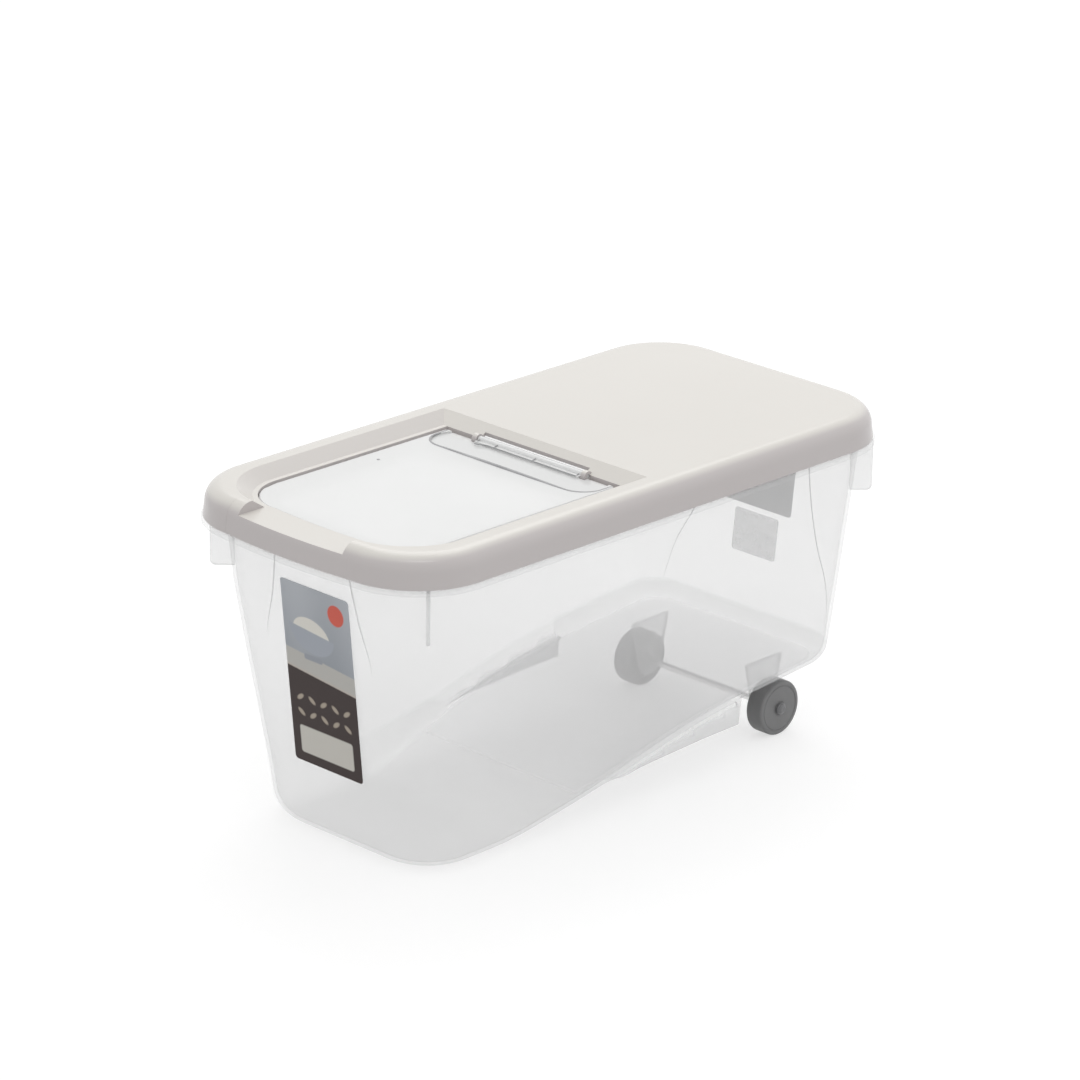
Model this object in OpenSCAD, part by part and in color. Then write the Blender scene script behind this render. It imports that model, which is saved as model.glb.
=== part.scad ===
/* [Overall] */
// Length over the brim, along Y
bin_length = 480; // [420:1:580]
// Width over the brim, along X
bin_width = 236; // [210:1:290]
// Height from the ground to the top of the cover
bin_height = 240; // [200:1:300]

/* [Tub] */
// Thickness of the tub's walls, floor and brim
tub_wall = 2.4; // [2:0.1:3.2]
// Sideways lean of the tub's walls per unit of height
wall_draft = 0.11; // [0.09:0.005:0.13]
// Radius of the tub's upright corners at the brim
tub_corner_radius = 46; // [43:1:54]
// Radius of the lower edge round the foot
foot_edge_radius = 16; // [10:1:18]
// How far the brim stands out past the side walls
brim_side = 9.5; // [8:0.5:14]
// How far the brim stands out past the front wall
brim_front = 24.5; // [20:0.5:30]
// How far the brim stands out past the rear wall
brim_rear = 12; // [8:0.5:16]
// Height of the bead round the brim's edge
brim_height = 4; // [3:0.2:6]
// Height of the tub's mouth above the brim
mouth_height = 9.5; // [6:0.5:9.5]
// Height of the raised floor at the rear
rear_floor_z = 57; // [50:1:62]
// Length of the ground-level foot behind the front wall
foot_length = 65; // [55:1:90]
// Height of the stiffening gussets under the brim
gusset_height = 38; // [25:1:45]
// Thickness of the gussets
gusset_wall = 2.8; // [2:0.1:4]

/* [Cover] */
// Height of the cover above the brim
cover_height = 22; // [20:0.5:26]
// Thickness of the cover
cover_wall = 2.4; // [2:0.1:3]
// Radius of the cover's upper outer edge
cover_edge_radius = 12.5; // [9:0.5:14]
// Depth of the recess that takes the flap
recess_depth = 7; // [6:0.5:8]
// Width of the finger notch at the front
notch_width = 98; // [60:1:120]

/* [Flap] */
// Width of the clear flap
flap_width = 161; // [130:1:166]
// Thickness of the clear flap
flap_wall = 3; // [2.4:0.1:3.4]
// Length of the hinge barrel
barrel_length = 97; // [60:1:120]
// Diameter of the hinge barrel
barrel_diameter = 5.2; // [4.6:0.1:5.4]
// Diameter of the flap's pivot pins
pivot_diameter = 3; // [2.4:0.1:3.4]

/* [Wheels] */
// Diameter of the two rear wheels
wheel_diameter = 40; // [36:1:44]
// Width of a wheel
wheel_width = 14; // [10:0.5:16]
// Distance over the outer faces of the two wheels
wheel_track = 142; // [130:1:148]
// Diameter of the axle rod
axle_diameter = 5; // [4:0.5:6]

/* [Labels] */
// Width of the front label
front_label_width = 64; // [40:1:80]
// Height of the front label
front_label_height = 132; // [80:1:140]
// Width of the rear wall's upper label
upper_label_width = 62; // [30:1:70]
// Height of the rear wall's upper label
upper_label_height = 48; // [20:1:60]
// Width of the rear wall's lower label
lower_label_width = 41; // [20:1:60]
// Height of the rear wall's lower label
lower_label_height = 31; // [20:1:40]

/* [Hidden] */
$fn = 96;

// Gap between pieces that rest on each other
rest_gap = 0.3;
// Radial running clearance of a pin in its bore
running_fit = 0.08;
// How far a cut runs past the face it opens
over = 1;

tub_color = [0.92, 0.93, 0.93, 0.55];
cover_color = [0.90, 0.89, 0.86];
flap_color = [0.95, 0.95, 0.95, 0.6];
wheel_color = [0.45, 0.45, 0.46];

half_width = bin_width / 2;
half_length = bin_length / 2;
brim_z = bin_height - cover_height;

// The brim's outline: a shallow bow at the front that runs into the corners,
// straight sides, and rounded corners to a straight rear
bow_radius = 530;
brim_front_radius = 58;
brim_rear_radius = 56;

// The front corners stand a little further forward than where they would touch the
// bow, so that bow and corner cross each other
corner_lap = 0.5;
function bow_angle(half, corner, bow) = asin((half - corner) / (bow - corner));
function bow_corner_y(front, half, corner, bow) =
    bow == 0 ? front + corner
             : round(100 * (front + bow - corner_lap
                            - (bow - corner) * cos(bow_angle(half, corner, bow)))) / 100;

function flip_x(points) = [for (i = [len(points) - 1 : -1 : 0]) [-points[i][0], points[i][1]]];

// A solid that fills a rounded outline whose inward offset changes with height.
// shape holds half width, front Y, rear Y, front and rear corner radius and bow
// radius, and steps is a list of [inward offset, height] from the bottom up.
module stepped_solid(shape, steps) {
    half = shape[0];
    front = shape[1];
    rear = shape[2];
    front_corner = shape[3];
    rear_corner = shape[4];
    bow = shape[5];
    low = steps[0][1];
    high = steps[len(steps) - 1][1];
    front_y = bow_corner_y(front, half, front_corner, bow);
    rear_y = rear - rear_corner;
    middle_y = (front_y + rear_y) / 2;
    sides = [for (s = steps) [half - s[0], s[1]]];
    translate([0, rear_y, 0])
        rotate([90, 0, 0])
            linear_extrude(rear_y - front_y)
                polygon(concat(sides, flip_x(sides)));
    translate([-(half - rear_corner), 0, 0])
        rotate([90, 0, 90])
            linear_extrude(2 * (half - rear_corner))
                polygon(concat([[middle_y, low]],
                               [for (s = steps) [rear - s[0], s[1]]],
                               [[middle_y, high]]));
    if (bow == 0) {
        translate([-(half - front_corner), 0, 0])
            rotate([90, 0, 90])
                linear_extrude(2 * (half - front_corner))
                    polygon(concat([[middle_y, high]],
                                   [for (i = [len(steps) - 1 : -1 : 0])
                                       [front + steps[i][0], steps[i][1]]],
                                   [[middle_y, low]]));
    } else {
        bow_half = half - front_corner
                   + front_corner * sin(bow_angle(half, front_corner, bow));
        intersection() {
            translate([0, front + bow, 0])
                rotate_extrude($fn = 360)
                    polygon(concat([[0, low]],
                                   [for (s = steps) [bow - s[0], s[1]]],
                                   [[0, high]]));
            translate([-round(bow_half), front - over, low - over])
                cube([2 * round(bow_half), middle_y - front + over, high - low + 2 * over]);
        }
    }
    for (side = [0, 1])
        mirror([side, 0, 0]) {
            translate([half - front_corner, front_y, 0])
                rotate([0, 0, 270])
                    rotate_extrude(angle = 90)
                        polygon(concat([[0, low]],
                                       [for (s = steps) [front_corner - s[0], s[1]]],
                                       [[0, high]]));
            translate([half - rear_corner, rear_y, 0])
                rotate_extrude(angle = 90)
                    polygon(concat([[0, low]],
                                   [for (s = steps) [rear_corner - s[0], s[1]]],
                                   [[0, high]]));
        }
}

// A slab across the whole width whose side view, in Y and Z, is the outline given
module side_view(outline, width) {
    translate([-width / 2, 0, 0])
        rotate([90, 0, 90])
            linear_extrude(width)
                polygon(outline);
}

brim_shape = [half_width, -half_length, half_length,
              brim_front_radius, brim_rear_radius, bow_radius];
tub_front = -half_length + brim_front;
tub_rear = half_length - brim_rear;
tub_half = half_width - brim_side;
tub_shape = [tub_half, tub_front, tub_rear, tub_corner_radius, tub_corner_radius, 0];
tub_lean = wall_draft * brim_z;

function wall_offset(z) = wall_draft * max(0, brim_z - z);

// Outer steps of the tub: a rounded lower edge, the leaning wall, the upright mouth
tub_outer_steps = concat(
    [for (a = [0 : 15 : 75])
        let (z = foot_edge_radius * (1 - cos(a)))
            [wall_offset(z) + foot_edge_radius * (1 - sin(a)), z]],
    [[wall_offset(foot_edge_radius), foot_edge_radius],
     [0, brim_z],
     [0, brim_z + mouth_height]]);
inner_edge_radius = foot_edge_radius - tub_wall;
tub_inner_steps = concat(
    [for (a = [0 : 15 : 75])
        let (z = tub_wall + inner_edge_radius * (1 - cos(a)))
            [wall_offset(z) + tub_wall + inner_edge_radius * (1 - sin(a)), z]],
    [[wall_offset(foot_edge_radius) + tub_wall, foot_edge_radius],
     [tub_wall, brim_z],
     [tub_wall, brim_z + mouth_height + over]]);

// Steps of the hollow under the raised floor, straight down to the skirts' edge
tub_hollow_steps = [[wall_offset(0) + tub_wall, -over],
                    [wall_offset(rear_floor_z) + tub_wall, rear_floor_z]];

// Side view of the floor's upper face: flat on the foot, a blend into a straight
// ramp, a gentler rise past the crest, and a rounded edge up to the rear wall
foot_end = tub_front + tub_lean + foot_length;
ramp_blend = 40;
ramp_slope = 0.245;
rear_slope = 0.08;
rear_edge_radius = 9;
rear_wall_y = tub_rear - wall_offset(rear_floor_z);
ramp_z = tub_wall + ramp_slope * ramp_blend / 2;
function blend_z(y) = tub_wall + ramp_slope * pow(y - foot_end, 2) / (2 * ramp_blend);
function ramp_line(y) = ramp_z + ramp_slope * (y - foot_end - ramp_blend);
function rear_line(y) = rear_floor_z - rear_slope * (rear_wall_y - y);
crest_y = (rear_floor_z - rear_slope * rear_wall_y - ramp_z + ramp_slope * (foot_end + ramp_blend))
          / (ramp_slope - rear_slope);
crest_half = 14;
rear_edge_y = rear_wall_y - rear_edge_radius;
rear_edge_z = rear_line(rear_edge_y) - tub_wall + rear_edge_radius;
function rear_edge(radius) = [for (a = [270 : 15 : 360])
    [rear_edge_y + radius * cos(a), rear_edge_z + radius * sin(a)]];
floor_points = concat(
    [[tub_front - over, tub_wall]],
    [for (y = [0 : ramp_blend / 4 : ramp_blend]) [foot_end + y, blend_z(foot_end + y)]],
    [[crest_y - crest_half, ramp_line(crest_y - crest_half)],
     [crest_y + crest_half, rear_line(crest_y + crest_half)]],
    rear_edge(rear_edge_radius - tub_wall));

// Side view of the lower edge: under the ramp, then along the side skirts to the arch
arch_length = 121;
arch_y = tub_rear - arch_length;
skirt_start = foot_end + 114;
skirt_low_z = 26.3;
skirt_high_z = 30.3;
skirt_bend = 17;
skirt_rise = [1.2, 0.4];
skirt_ease = 35;
skirt_points = concat(
    [for (y = [0 : ramp_blend / 4 : ramp_blend])
        [foot_end + y, blend_z(foot_end + y) - tub_wall]],
    [[skirt_start, ramp_line(skirt_start) - tub_wall],
     [skirt_start + skirt_bend, skirt_low_z],
     [skirt_start + skirt_ease, skirt_low_z + skirt_rise[0]],
     [arch_y - skirt_ease + over, skirt_high_z - skirt_rise[1]],
     [arch_y, skirt_high_z]]);

// Side views of the hollow under the floor and of the open arch round the wheels
arch_overlap = 5;
hollow_points = [[foot_end + ramp_blend, -over],
                 [foot_end + ramp_blend, ramp_z - tub_wall],
                 [crest_y - crest_half, ramp_line(crest_y - crest_half) - tub_wall],
                 [crest_y + crest_half, rear_line(crest_y + crest_half) - tub_wall],
                 [arch_y + arch_overlap, rear_line(arch_y + arch_overlap) - tub_wall],
                 [arch_y + arch_overlap, -over]];
arch_points = concat([[arch_y, -over],
                      [arch_y, rear_line(arch_y) - tub_wall]],
                     rear_edge(rear_edge_radius),
                     [[tub_rear + 2 * over, rear_edge_z],
                      [tub_rear + 2 * over, -over]]);

wheel_radius = wheel_diameter / 2;
wheel_inset = 59;
wheel_y = tub_rear - wheel_inset;
wheel_inner_x = wheel_track / 2 - wheel_width;
axle_radius = axle_diameter / 2;
bracket_wall = 3.2;
bracket_gap = 1;
bracket_x = wheel_inner_x - bracket_gap - bracket_wall;
bracket_depth = 36;
bracket_nose = 11;
cap_gap = 0.4;
cap_height = 3.2;
cap_end = 1;
axle_end_x = wheel_track / 2 + cap_gap + cap_height - cap_end;

// Low rib on the brim, just inside the cover's skirt
rib_inset = 4.9;
rib_wall = 1.8;
rib_height = 5;

// The gussets stand on the diagonals of the tub's corners, this far out
front_gusset_reach = brim_front_radius - 1;
rear_gusset_reach = brim_rear_radius;
gusset_nose = 4;

function above(points, top) =
    concat(points, [[tub_rear + over, points[len(points) - 1][1]], [tub_rear + over, top],
                    [points[0][0], top]]);
function below(points, bottom) =
    concat(points, [[points[len(points) - 1][0], bottom], [points[0][0], bottom]]);

// Upright web under a corner of the brim, with a rounded lower nose
module gusset(front) {
    wall_radius = tub_corner_radius - wall_offset(brim_z - gusset_height);
    nose = gusset_nose;
    reach = front ? front_gusset_reach : rear_gusset_reach;
    low = brim_z - brim_height / 2 - gusset_height;
    translate([tub_half - tub_corner_radius,
               front ? tub_front + tub_corner_radius : tub_rear - tub_corner_radius, 0])
        rotate([0, 0, front ? -45 : 45])
            rotate([90, 0, 0])
                translate([0, 0, -gusset_wall / 2])
                    linear_extrude(gusset_wall)
                        polygon(concat([[wall_radius - tub_wall / 2, brim_z - brim_height / 2],
                                        [wall_radius - tub_wall / 2, low]],
                                       [for (a = [-90 : 15 : 0])
                                           [reach - nose + nose * cos(a), low + nose + nose * sin(a)]],
                                       [[reach, brim_z - brim_height / 2]]));
}

// Plate under the raised floor that carries the axle, with a round lower end
module axle_bracket() {
    top = rear_line(wheel_y) - tub_wall / 2;
    translate([bracket_x, 0, 0])
        rotate([90, 0, 90])
            linear_extrude(bracket_wall)
                polygon(concat([[wheel_y + bracket_depth / 2, top]],
                               [[wheel_y - bracket_depth / 2, top]],
                               [for (a = [180 : 15 : 360])
                                   [wheel_y + bracket_nose * cos(a),
                                    wheel_radius + bracket_nose * sin(a)]]));
}

brim_chamfer = 0.8;

module tub() {
    color(tub_color)
    difference() {
        union() {
            difference() {
                union() {
                    stepped_solid(tub_shape, tub_outer_steps);
                    stepped_solid(brim_shape, [[brim_chamfer, brim_z - brim_height],
                                               [0, brim_z - brim_height + brim_chamfer],
                                               [0, brim_z]]);
                    for (side = [0, 1])
                        mirror([side, 0, 0]) {
                            gusset(true);
                            gusset(false);
                        }
                }
                // inside of the tub, above the floor
                intersection() {
                    stepped_solid(tub_shape, tub_inner_steps);
                    side_view(above(floor_points, bin_height), bin_width);
                }
                // hollow under the brim's outer part
                difference() {
                    stepped_solid(brim_shape, [[tub_wall, brim_z - brim_height - over],
                                               [tub_wall, brim_z - tub_wall]]);
                    stepped_solid(tub_shape, tub_outer_steps);
                    for (side = [0, 1])
                        mirror([side, 0, 0]) {
                            gusset(true);
                            gusset(false);
                        }
                }
                // hollow under the raised floor, between the side skirts
                intersection() {
                    stepped_solid(tub_shape, tub_hollow_steps);
                    side_view(hollow_points, bin_width);
                }
                // lower edge of the side skirts
                side_view(below(skirt_points, -over), bin_width + 2 * over);
                // open wheel arch and rear
                side_view(arch_points, bin_width + 2 * over);
            }
            // low rib on the brim that keeps the cover in place
            difference() {
                stepped_solid(brim_shape, [[rib_inset, brim_z - tub_wall / 2],
                                           [rib_inset, brim_z + rib_height]]);
                stepped_solid(brim_shape, [[rib_inset + rib_wall, brim_z - tub_wall],
                                           [rib_inset + rib_wall, brim_z + rib_height + over]]);
            }
            for (side = [0, 1])
                mirror([side, 0, 0])
                    axle_bracket();
        }
        // bore for the axle
        translate([-half_width, wheel_y, wheel_radius])
            rotate([0, 90, 0])
                cylinder(r = axle_radius, h = bin_width);
    }
}

// Cover, outside: a slightly leaning skirt under a rounded edge
cover_inset = 1.5;
cover_lean = 1.2;
cover_low = brim_z + rest_gap;

function cover_steps(thick) = concat(
    [[cover_inset + thick, cover_low - (thick > 0 ? over : 0)]],
    [for (a = [0 : 10 : 90])
        let (r = cover_edge_radius - thick)
            [cover_inset + cover_lean + cover_edge_radius - r * cos(a),
             bin_height - cover_edge_radius + r * sin(a)]]);

// Recess for the flap: seat, upright wall, narrow ledge and a sloping side
flap_gap = 0.8;
flap_front = -208;
flap_corner = 36;
seat_width = 10;
ledge_width = 3.5;
slope_width = 10.5;
ledge_z = bin_height - recess_depth;
seat_depth = 4;
seat_z = ledge_z - seat_depth;
step_y = -11;
step_spare = 100;
step_corner = 20;
recess_shape = [flap_width / 2 + flap_gap + ledge_width + slope_width,
                flap_front - flap_gap - ledge_width - slope_width,
                step_y + step_spare,
                flap_corner + flap_gap + ledge_width + slope_width, step_corner, bow_radius];
recess_steps = [[slope_width + ledge_width, seat_z],
                [slope_width + ledge_width, ledge_z],
                [slope_width, ledge_z],
                [0, bin_height],
                [0, bin_height + over]];
recess_shell_steps = [[slope_width + ledge_width - cover_wall, seat_z - cover_wall],
                      [slope_width + ledge_width - cover_wall, ledge_z - cover_wall],
                      [slope_width - cover_wall / 2, ledge_z - cover_wall],
                      [-cover_wall, bin_height],
                      [-cover_wall, bin_height + over]];
recess_side = [[-half_length, seat_z],
               [step_y, seat_z],
               [step_y, ledge_z],
               [0, bin_height],
               [0, bin_height + 2 * over],
               [-half_length, bin_height + 2 * over]];
recess_shell_side = [[-half_length, seat_z - cover_wall],
                     [step_y + cover_wall, seat_z - cover_wall],
                     [step_y + cover_wall, ledge_z - cover_wall / 2],
                     [cover_wall, bin_height],
                     [cover_wall, bin_height + 2 * over],
                     [-half_length, bin_height + 2 * over]];

// Opening under the flap
opening_half = flap_width / 2 + flap_gap - seat_width;
opening_front = bow_corner_y(recess_shape[1], recess_shape[0], recess_shape[3], bow_radius)
                - (flap_corner + flap_gap - seat_width);
opening_rear = -46;
opening_corner = flap_corner + flap_gap - seat_width;
opening_rear_corner = 8;

// Hinge of the flap
hinge_y = -12;
hinge_drop = 0.3;
hinge_z = seat_z + rest_gap + flap_wall - hinge_drop;
barrel_radius = barrel_diameter / 2;
pivot_radius = pivot_diameter / 2;
pivot_length = 3.6;
lug_gap = 0.5;
lug_wall = 4;
lug_x = barrel_length / 2 + lug_gap;
lug_radius = 3.8;

module hinge_lugs() {
    for (side = [0, 1])
        mirror([side, 0, 0])
            translate([lug_x, hinge_y, 0]) {
                translate([0, 0, hinge_z])
                    rotate([0, 90, 0])
                        cylinder(r = lug_radius, h = lug_wall);
                translate([0, -lug_radius, seat_z - cover_wall / 2])
                    cube([lug_wall, 2 * lug_radius, hinge_z - seat_z + cover_wall / 2]);
            }
}

// Finger notch in the front edge, and the pocket behind the barrel
notch_depth = 33;
pocket_front = 4;
pocket_rear = 4.5;

module cover() {
    pocket_y = step_y + pocket_rear;
    color(cover_color)
    difference() {
        union() {
            difference() {
                stepped_solid(brim_shape, cover_steps(0));
                // recess
                intersection() {
                    stepped_solid(recess_shape, recess_steps);
                    side_view(recess_side, bin_width);
                }
                // inside of the cover, around the underside of the recess
                difference() {
                    stepped_solid(brim_shape, cover_steps(cover_wall));
                    intersection() {
                        stepped_solid(recess_shape, recess_shell_steps);
                        side_view(recess_shell_side, bin_width);
                    }
                    // floor of the finger notch
                    translate([-notch_width / 2 - cover_wall, -half_length - over,
                               ledge_z - cover_wall])
                        cube([notch_width + 2 * cover_wall, notch_depth, bin_height]);
                }
                // hinge pocket in the sloping step
                translate([-lug_x, hinge_y - pocket_front, seat_z])
                    cube([2 * lug_x, pocket_y - hinge_y + pocket_front, bin_height - seat_z + over]);
                // finger notch
                translate([-notch_width / 2, -half_length - over, ledge_z])
                    cube([notch_width, notch_depth + over, recess_depth + over]);
                // opening
                stepped_solid([opening_half, opening_front, opening_rear,
                               opening_corner, opening_rear_corner, 0],
                              [[0, seat_z - 2 * cover_wall], [0, seat_z + over]]);
            }
            hinge_lugs();
        }
        translate([-lug_x - lug_wall - over, hinge_y, hinge_z])
            rotate([0, 90, 0])
                cylinder(r = pivot_radius + running_fit, h = 2 * (lug_x + lug_wall + over));
    }
}

// Clear flap: plate, recessed rear strip, hinge barrel with pivots, locating rim
flap_low = seat_z + rest_gap;
flap_high = flap_low + flap_wall;
flap_rear = hinge_y - 1.4;
flap_chamfer = 0.8;
flap_rear_corner = 3;
strip_depth = 1.4;
strip_half = 74;
strip_front = -38;
strip_corner = 14;
hinge_web_y = -17.5;
rim_gap = 1.2;
rim_wall = 2.2;
rim_drop = 5.5;
rim_taper = 0.6;
rim_shape = [opening_half - rim_gap, opening_front + rim_gap, opening_rear - rim_gap,
             opening_corner - rim_gap, opening_rear_corner - 1, 0];

module flap() {
    color(flap_color)
    union() {
        difference() {
            stepped_solid([flap_width / 2, flap_front, flap_rear,
                           flap_corner, flap_rear_corner, bow_radius],
                          [[0, flap_low],
                           [0, flap_high - flap_chamfer],
                           [flap_chamfer, flap_high]]);
            // recessed strip with rounded front corners
            difference() {
                stepped_solid([strip_half, strip_front, -strip_front / 2, strip_corner, 4, 0],
                              [[0, flap_high - strip_depth], [0, flap_high + over]]);
                translate([-barrel_length / 2, hinge_web_y, 0])
                    cube([barrel_length, -2 * strip_front, bin_height]);
            }
            // room for the cover's hinge lugs
            for (side = [0, 1])
                mirror([side, 0, 0])
                    translate([barrel_length / 2, hinge_y - lug_radius - flap_gap, flap_low - over])
                        cube([lug_wall + 2 * lug_gap, -2 * hinge_y, flap_wall + 2 * over]);
        }
        translate([-barrel_length / 2, hinge_y, hinge_z])
            rotate([0, 90, 0])
                cylinder(r = barrel_radius, h = barrel_length);
        translate([-barrel_length / 2, flap_rear - 2, flap_low])
            cube([barrel_length, hinge_y - flap_rear + 2, flap_wall - hinge_drop]);
        translate([-lug_x - pivot_length, hinge_y, hinge_z])
            rotate([0, 90, 0])
                cylinder(r = pivot_radius, h = 2 * (lug_x + pivot_length));
        // locating rim under the plate
        difference() {
            stepped_solid(rim_shape, [[rim_taper, flap_low - rim_drop], [0, flap_low + rest_gap]]);
            stepped_solid(rim_shape, [[rim_wall, flap_low - rim_drop - over], [rim_wall, flap_low]]);
        }
    }
}

module axle() {
    color("silver")
    translate([-axle_end_x, wheel_y, wheel_radius])
        rotate([0, 90, 0])
            cylinder(r = axle_radius, h = 2 * axle_end_x);
}

// Wheel: a disc with a rounded rim, a recessed inner face, a shallow dished outer
// face and a plain bore through its hub
rim = 1.5;
rim_width = 3;
hub_wall = 4;
dish = 0.8;

module wheel() {
    color(wheel_color)
    translate([wheel_inner_x, wheel_y, wheel_radius])
        rotate([0, 90, 0])
            rotate_extrude()
                polygon([[axle_radius + running_fit, 0],
                         [axle_radius + hub_wall, 0],
                         [axle_radius + hub_wall, rim_width],
                         [wheel_radius - rim_width, rim_width],
                         [wheel_radius - rim_width, 0],
                         [wheel_radius - rim, 0],
                         [wheel_radius, rim],
                         [wheel_radius, wheel_width - rim],
                         [wheel_radius - rim, wheel_width],
                         [wheel_radius - rim_width, wheel_width],
                         [wheel_radius - rim_width - dish, wheel_width - dish],
                         [axle_radius + hub_wall + dish, wheel_width - dish],
                         [axle_radius + hub_wall, wheel_width],
                         [axle_radius + running_fit, wheel_width]]);
}

// Push-on cap on the axle's end: a flange, a slightly tapered crown and a closed end
flange_wall = 1.8;
flange_height = 1.2;
crown_wall = 1.1;
crown_top_wall = 0.9;
crown_edge = 0.4;

module wheel_cap() {
    color("silver")
    translate([wheel_track / 2 + cap_gap, wheel_y, wheel_radius])
        rotate([0, 90, 0])
            rotate_extrude()
                polygon([[0, cap_height - cap_end],
                         [axle_radius, cap_height - cap_end],
                         [axle_radius, 0],
                         [axle_radius + flange_wall, 0],
                         [axle_radius + flange_wall, flange_height],
                         [axle_radius + crown_wall, flange_height + crown_edge],
                         [axle_radius + crown_top_wall, cap_height - cap_end],
                         [axle_radius - crown_edge, cap_height],
                         [0, cap_height]]);
}

// A thin sheet on the leaning front or rear wall, a hair in front of it
label_thickness = 0.3;
label_gap = 0.02;
front_label_low = 58;
upper_label_low = 138;
lower_label_low = 103;

module end_label(rear, width, low, height) {
    high = low + height;
    wall_y = (rear ? tub_rear : -tub_front) + label_gap;
    y0 = wall_y - wall_offset(low);
    y1 = wall_y - wall_offset(high);
    mirror([0, rear ? 0 : 1, 0])
        side_view([[y0, low], [y0 + label_thickness, low],
                   [y1 + label_thickness, high], [y1, high]], width);
}

module front_label() {
    color([0.35, 0.36, 0.40])
    end_label(false, front_label_width, front_label_low, front_label_height);
}

module rear_label_upper() {
    color([0.62, 0.63, 0.64])
    end_label(true, upper_label_width, upper_label_low, upper_label_height);
}

module rear_label_lower() {
    color([0.80, 0.81, 0.82])
    end_label(true, lower_label_width, lower_label_low, lower_label_height);
}

tub();
cover();
flap();
axle();
wheel();  // wheel_right
mirror([1, 0, 0]) wheel();  // wheel_left
wheel_cap();  // wheel_cap_right
mirror([1, 0, 0]) wheel_cap();  // wheel_cap_left
front_label();
rear_label_upper();
rear_label_lower();
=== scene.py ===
"""Looks of the wheeled rice bin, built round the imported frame.

Lengths are millimetres in the bin's own frame: X across, Y from the flap end to the
wheel end, Z up. Only the last step of each piece turns them into metres.
"""
import math

import bmesh
import bpy
import numpy as np
from mathutils import Matrix, Vector

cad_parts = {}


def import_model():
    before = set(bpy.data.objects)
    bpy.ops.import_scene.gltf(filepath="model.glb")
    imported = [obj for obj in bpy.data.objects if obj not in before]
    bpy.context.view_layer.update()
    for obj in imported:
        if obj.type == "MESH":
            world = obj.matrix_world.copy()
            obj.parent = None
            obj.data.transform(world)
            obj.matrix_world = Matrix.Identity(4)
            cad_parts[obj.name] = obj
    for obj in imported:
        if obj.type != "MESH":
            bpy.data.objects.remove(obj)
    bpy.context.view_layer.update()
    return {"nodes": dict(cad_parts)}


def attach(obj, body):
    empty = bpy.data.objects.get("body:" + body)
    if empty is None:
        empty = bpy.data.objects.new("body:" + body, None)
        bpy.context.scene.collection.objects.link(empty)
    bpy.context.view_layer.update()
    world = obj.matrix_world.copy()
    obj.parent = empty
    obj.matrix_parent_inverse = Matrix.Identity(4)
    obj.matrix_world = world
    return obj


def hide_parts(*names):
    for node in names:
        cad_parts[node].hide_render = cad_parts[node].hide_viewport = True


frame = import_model()

MM = 0.001

# Sizes shared with the part's source, in millimetres
BRIM_Z = 218.0
MOUTH_Z = 227.5
WALL = 2.4
DRAFT = 0.11
TUB_HALF, TUB_FRONT, TUB_REAR, TUB_CORNER = 108.5, -215.5, 228.0, 46.0
BRIM_HALF, BRIM_FRONT, BRIM_REAR = 118.0, -240.0, 240.0
BRIM_FRONT_CORNER, BRIM_REAR_CORNER, BOW_RADIUS = 58.0, 56.0, 530.0
FOOT_END, RAMP_BLEND, RAMP_SLOPE, REAR_SLOPE = -126.52, 40.0, 0.245, 0.08
REAR_FLOOR_Z = 57.0
ARCH_Y = 107.0
SKIRT_START, SKIRT_LOW_Z, SKIRT_HIGH_Z = -12.5, 26.3, 30.3
WHEEL_Y, WHEEL_Z = 169.0, 20.0

# Sizes of the visible tub alone: lower edge, eased front corners, crest of the floor
FOOT_EDGE, REAR_EDGE, EDGE_RUN = 20.0, 10.0, 110.0
CORNER_EASE, CORNER_EASE_TOP, EASE_RUN = 22.0, 175.0, 40.0
CREST_SOFTNESS = 3.0
SKIRT_SPREAD = 6.0

# Flat panels in the end walls: heights and half widths, and the step beside them
FRONT_PANEL = ([150.0, 175.0, 200.0, 218.0], [49.0, 41.0, 36.0, 34.0])
REAR_PANEL = ([61.0, 98.0, 123.0, 150.0, 173.0, 218.0], [79.0, 72.0, 58.0, 49.0, 43.5, 38.0])
PANEL_STEP, PANEL_FADE = 1.4, 9.0

# Opacity added on the floor, the skirts and the flat webs
FLOOR_MILK, SKIRT_MILK, WEB_MILK = 0.19, 0.28, 0.12

# Points along an end, a corner and a side of an outline, and rings of the bucket
END_POINTS, CORNER_POINTS, SIDE_POINTS = 56, 33, 60
WALL_RINGS, TURN_RINGS, FLOOR_RINGS = 46, 12, 24
# Half the gap between the two points of a side where the skirts end
CUT_HALF = 0.03
# Directions from the middle of the lower edge, in radians: wall first, floor last
QUARTER_TURN = np.radians(np.linspace(90, 0, TURN_RINGS))


def clamp(value, low, high):
    """The value, kept between low and high."""
    return np.minimum(np.maximum(value, low), high)


def smooth_step(value, low, high):
    """3t^2 - 2t^3 with t going from 0 at low to 1 at high."""
    t = clamp((value - low) / (high - low), 0.0, 1.0)
    return t * t * (3 - 2 * t)


def wall_offset(z):
    """How far the leaning wall has come inwards at height z."""
    return DRAFT * np.maximum(0.0, BRIM_Z - z)


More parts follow.
